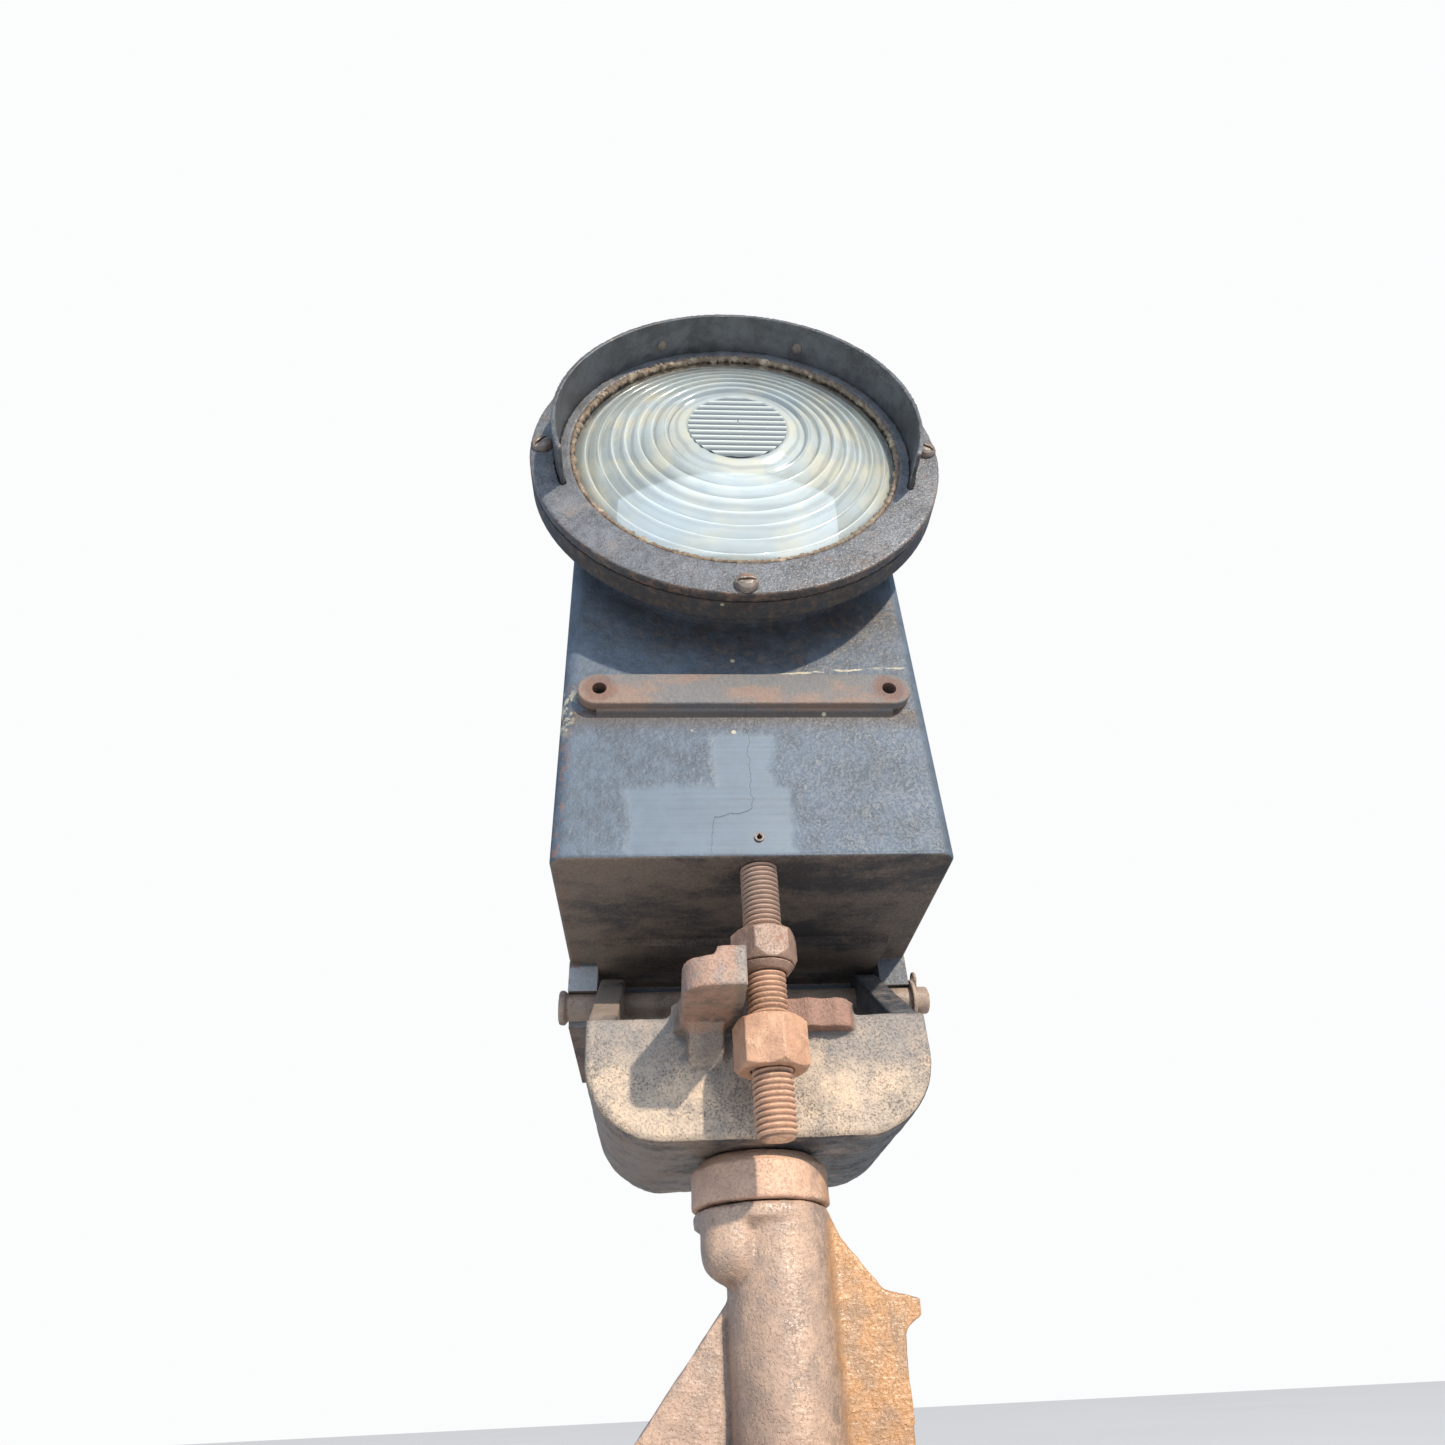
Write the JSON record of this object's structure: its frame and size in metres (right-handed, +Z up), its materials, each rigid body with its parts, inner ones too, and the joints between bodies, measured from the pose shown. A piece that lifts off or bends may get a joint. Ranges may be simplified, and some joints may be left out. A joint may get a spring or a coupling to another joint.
{
  "type": "railway signal lamp unit",
  "caption": "Cast-iron box signal lamp with hooded round lens, hung on a hinge pin, levelled by a threaded stud in a forked swivel bracket on a flanged post.",
  "frame": {"origin": "centre of the pedestal foot's underside, on the post axis", "axes": "+Z up along the post; the lens looks along -Y; +X is to the right of somebody facing the lens"},
  "size_m": [0.2535, 0.3634, 0.644],
  "materials": {
    "post_iron": "rusted, dusty orange-brown casting",
    "rusty_steel": "rusted steel",
    "yoke_iron": "worn black paint under tan dust",
    "case_iron": "thick glossy black paint on pebbly cast iron",
    "ring_iron": "black paint, brown along the edges",
    "screw_steel": "painted over, rust at the slot",
    "hood_steel": "worn black paint",
    "hasp_steel": "worn black paint, bright edges",
    "rivet_brass": "dull",
    "lens_glass": "clear, faint green-grey",
    "gasket_rubber": "dried and crumbly",
    "bush_rubber": "matt",
    "terminal_brass": "tarnished",
    "block_plastic": "moulded brown-black",
    "bracket_steel": "zinc plated",
    "bulb_glass": "clear",
    "filament_wire": "dull wire"
  },
  "bodies": {
    "pedestal": {"pedestal": "post_iron", "swivel_collar": "post_iron", "swivel_washer": "rusty_steel", "swivel_nut": "rusty_steel"},
    "yoke": {"yoke": "yoke_iron", "hinge_pin": "rusty_steel", "hinge_pin_washer": "rusty_steel", "cotter_pin": "rusty_steel"},
    "lamp": {"lamp_case": "case_iron", "lock_pin": "rusty_steel", "levelling_stud": "rusty_steel", "lens_ring": "ring_iron", "ring_screws": "screw_steel", "hood": "hood_steel", "hood_clips": "hood_steel", "hood_rivets": "rivet_brass", "lens": "lens_glass", "lens_front_gasket": "gasket_rubber", "lens_rear_gasket": "gasket_rubber", "door_gasket": "gasket_rubber", "door_hinge_pins": "rusty_steel", "staple": "rusty_steel", "cable_bush": "bush_rubber", "lamp_bracket_screws": "terminal_brass", "terminal_block": "block_plastic", "terminal_posts": "terminal_brass", "terminal_nuts": "terminal_brass"},
    "ball_washer": {"seat_washer": "rusty_steel"},
    "top_nut": {"upper_nut": "rusty_steel"},
    "bottom_nut": {"lower_nut": "rusty_steel"},
    "lamp_holder": {"lamp_bracket": "bracket_steel", "lamp_socket": "terminal_brass", "bulb_base": "terminal_brass", "bulb_glass": "bulb_glass", "filament": "filament_wire"},
    "door": {"rear_door": "case_iron", "hasp_pin": "rusty_steel"},
    "hasp": {"hasp": "hasp_steel"}
  },
  "joints": [
    {"name": "swivel", "type": "hinge", "parent": "pedestal", "child": "yoke", "pos_m": [0, 0, 0.13], "axis": [0, 0, 1], "range_deg": [-180, 180]},
    {"name": "tilt", "type": "hinge", "parent": "yoke", "child": "lamp", "pos_m": [0, 0.056, 0.226], "axis": [1, 0, 0], "range_deg": [-5, 5]},
    {"name": "ball_washer_travel", "type": "slide", "parent": "lamp", "child": "ball_washer", "axis": [0, 0, 1], "range_m": [-0.011, 0.011]},
    {"name": "upper_nut_turn", "type": "hinge", "parent": "ball_washer", "child": "top_nut", "pos_m": [0.0024, -0.068, 0.209], "axis": [0, 0, 1], "continuous": true},
    {"name": "lower_nut_travel", "type": "slide", "parent": "lamp", "child": "bottom_nut", "axis": [0, 0, 1], "range_m": [-0.011, 0.011]},
    {"name": "lamp_focus", "type": "slide", "parent": "lamp", "child": "lamp_holder", "axis": [0, 1, 0], "range_m": [-0.006, 0.006]},
    {"name": "door_swing", "type": "hinge", "parent": "lamp", "child": "door", "pos_m": [-0.109, 0.18935, 0.45], "axis": [0, 0, 1], "range_deg": [0, 115]},
    {"name": "hasp_swing", "type": "hinge", "parent": "door", "child": "hasp", "pos_m": [0.078, 0.19785, 0.44], "axis": [0, 0, 1], "range_deg": [0, 170]}
  ],
  "couplings": [
    {"joint": "ball_washer_travel", "follows": "tilt", "m_per_rad": 0.124},
    {"joint": "lower_nut_travel", "follows": "tilt", "m_per_rad": 0.124}
  ]
}
